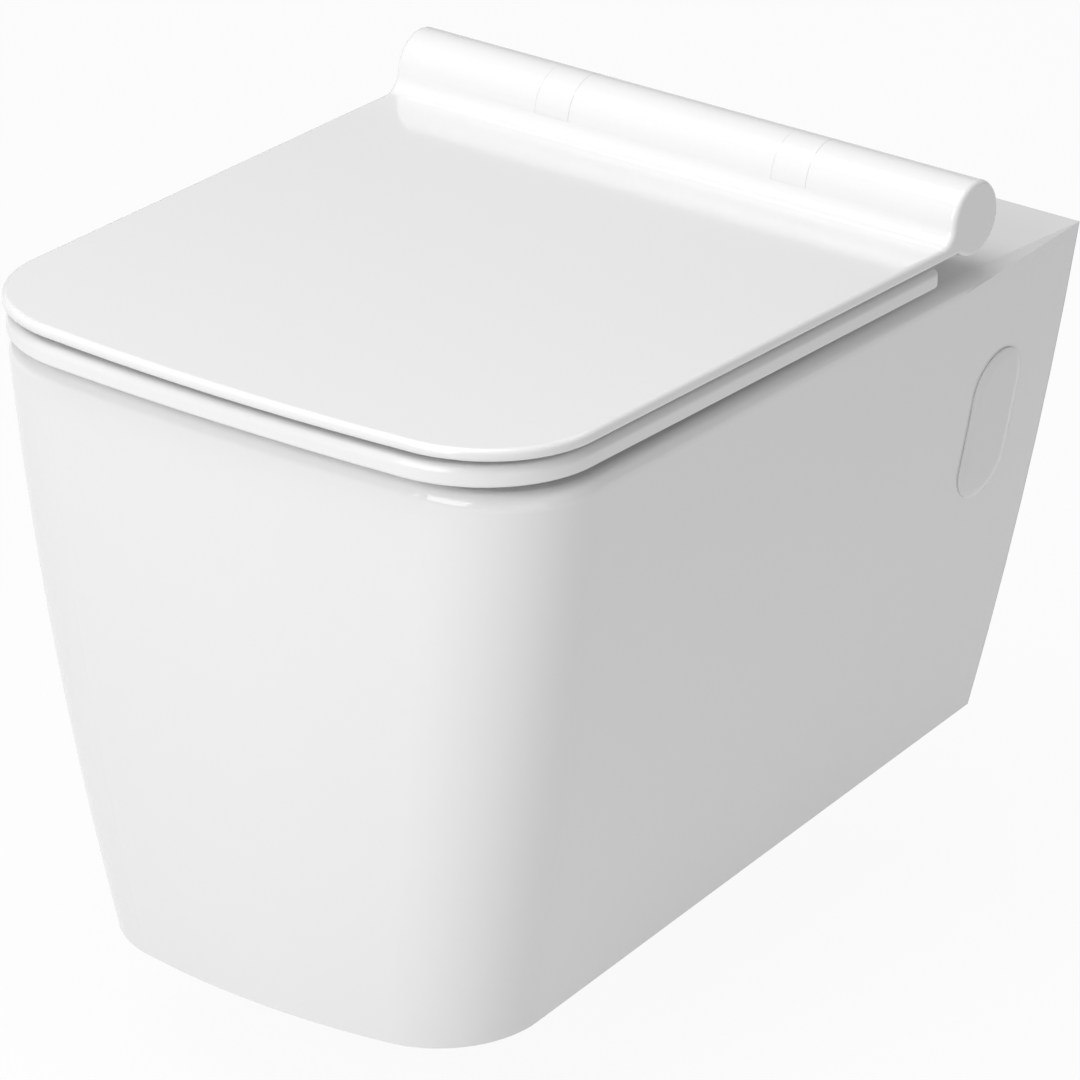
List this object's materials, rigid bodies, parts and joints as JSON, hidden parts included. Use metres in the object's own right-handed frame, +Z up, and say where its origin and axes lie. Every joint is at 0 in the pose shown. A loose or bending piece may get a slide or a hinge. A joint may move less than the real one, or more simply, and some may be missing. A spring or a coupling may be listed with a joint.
{
  "type": "wall-hung toilet",
  "caption": "Wall-hung toilet: shrouded glazed ceramic pan with trap and outlet, slow-closing seat ring and thin lid with a hinge roll, and capped side fixing holes.",
  "frame": {"origin": "midway between the two wall fixing bolts, on the wall face", "axes": "+Z up, +Y into the wall, +X to the right seen from the front"},
  "size_m": [0.3668, 0.5265, 0.3936],
  "materials": {
    "pan_glaze": "high gloss white glaze",
    "cap_plastic": "gloss white",
    "seat_duroplast": "gloss white thermoset",
    "lid_duroplast": "gloss white thermoset",
    "hinge_steel": "satin stainless",
    "axle_steel": "ground stainless",
    "button_plastic": "light grey moulded",
    "damper_plastic": "dark grey glass-filled",
    "bush_plastic": "natural nylon",
    "zinc_steel": "zinc plated",
    "buffer_rubber": "pale grey elastomer"
  },
  "bodies": {
    "pan": {"pan_body": "pan_glaze", "side_cap_left": "cap_plastic", "side_cap_right": "cap_plastic", "hinge_collar_left": "lid_duroplast", "hinge_collar_right": "lid_duroplast", "hinge_foot_left": "hinge_steel", "hinge_foot_right": "hinge_steel", "hinge_block_left": "hinge_steel", "hinge_block_right": "hinge_steel", "hinge_axle_left": "axle_steel", "hinge_axle_right": "axle_steel", "seat_bolts": "zinc_steel", "seat_bolt_washers": "zinc_steel", "wall_washers": "zinc_steel", "wall_nuts": "zinc_steel", "wall_sleeves": "bush_plastic", "seat_bolt_nuts": "bush_plastic", "flush_inlet_seal": "buffer_rubber", "seat_bolt_bushes": "buffer_rubber"},
    "seat": {"seat": "seat_duroplast", "seat_damper": "damper_plastic", "seat_bush": "bush_plastic", "seat_buffers": "buffer_rubber"},
    "lid": {"lid": "lid_duroplast", "lid_damper": "damper_plastic", "lid_bush": "bush_plastic", "lid_buffers": "buffer_rubber"},
    "left_button": {"release_button_left": "button_plastic"},
    "right_button": {"release_button_right": "button_plastic"}
  },
  "joints": [
    {"name": "seat_hinge", "type": "hinge", "parent": "pan", "child": "seat", "pos_m": [0, -0.1125, 0.1167], "axis": [-1, 0, 0], "range_deg": [0, 95]},
    {"name": "lid_hinge", "type": "hinge", "parent": "seat", "child": "lid", "pos_m": [0, -0.1125, 0.1167], "axis": [-1, 0, 0], "range_deg": [0, 98]},
    {"name": "left_button_push", "type": "slide", "parent": "pan", "child": "left_button", "axis": [0, -1, 0], "range_m": [0, 0.0025], "stiffness_N_per_m": 600},
    {"name": "right_button_push", "type": "slide", "parent": "pan", "child": "right_button", "axis": [0, -1, 0], "range_m": [0, 0.0025], "stiffness_N_per_m": 600}
  ]
}
